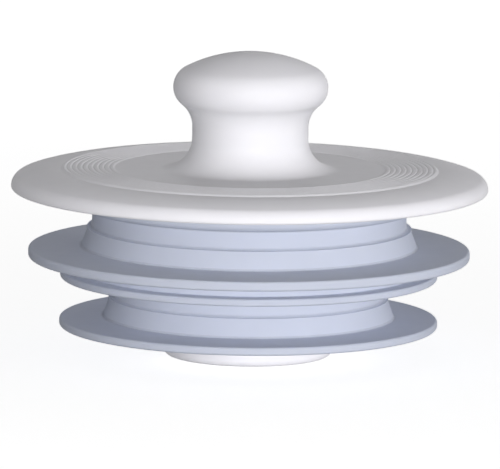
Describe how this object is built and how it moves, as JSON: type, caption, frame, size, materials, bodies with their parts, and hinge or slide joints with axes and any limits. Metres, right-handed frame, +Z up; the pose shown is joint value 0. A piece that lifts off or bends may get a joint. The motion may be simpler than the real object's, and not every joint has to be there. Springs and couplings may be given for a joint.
{
  "type": "drain stopper",
  "caption": "Round sink drain stopper: a mushroom pull knob on a ringed cap over stacked silicone seals whose thin fins close the drain bore, held by a clamped foot.",
  "frame": {"origin": "centre of the foot's flat bottom face, on the axis of symmetry", "axes": "+Z up along the stopper's axis, from the foot to the knob"},
  "size_m": [0.096, 0.096, 0.0614],
  "materials": {
    "white_plastic": "white moulded plastic, satin",
    "drum_plastic": "natural white moulded plastic",
    "silicone": "pale blue-grey silicone, soft satin",
    "black_rubber": "black sealing rubber",
    "insert_brass": "turned brass",
    "screw_steel": "stainless steel"
  },
  "bodies": {
    "root": {"cap": "white_plastic", "retainer": "white_plastic", "drum": "drum_plastic", "upper_seal": "silicone", "lower_seal": "silicone", "sealing_ring": "black_rubber", "screw_washer": "black_rubber", "thread_insert": "insert_brass", "clamp_screw": "screw_steel"}
  },
  "joints": []
}
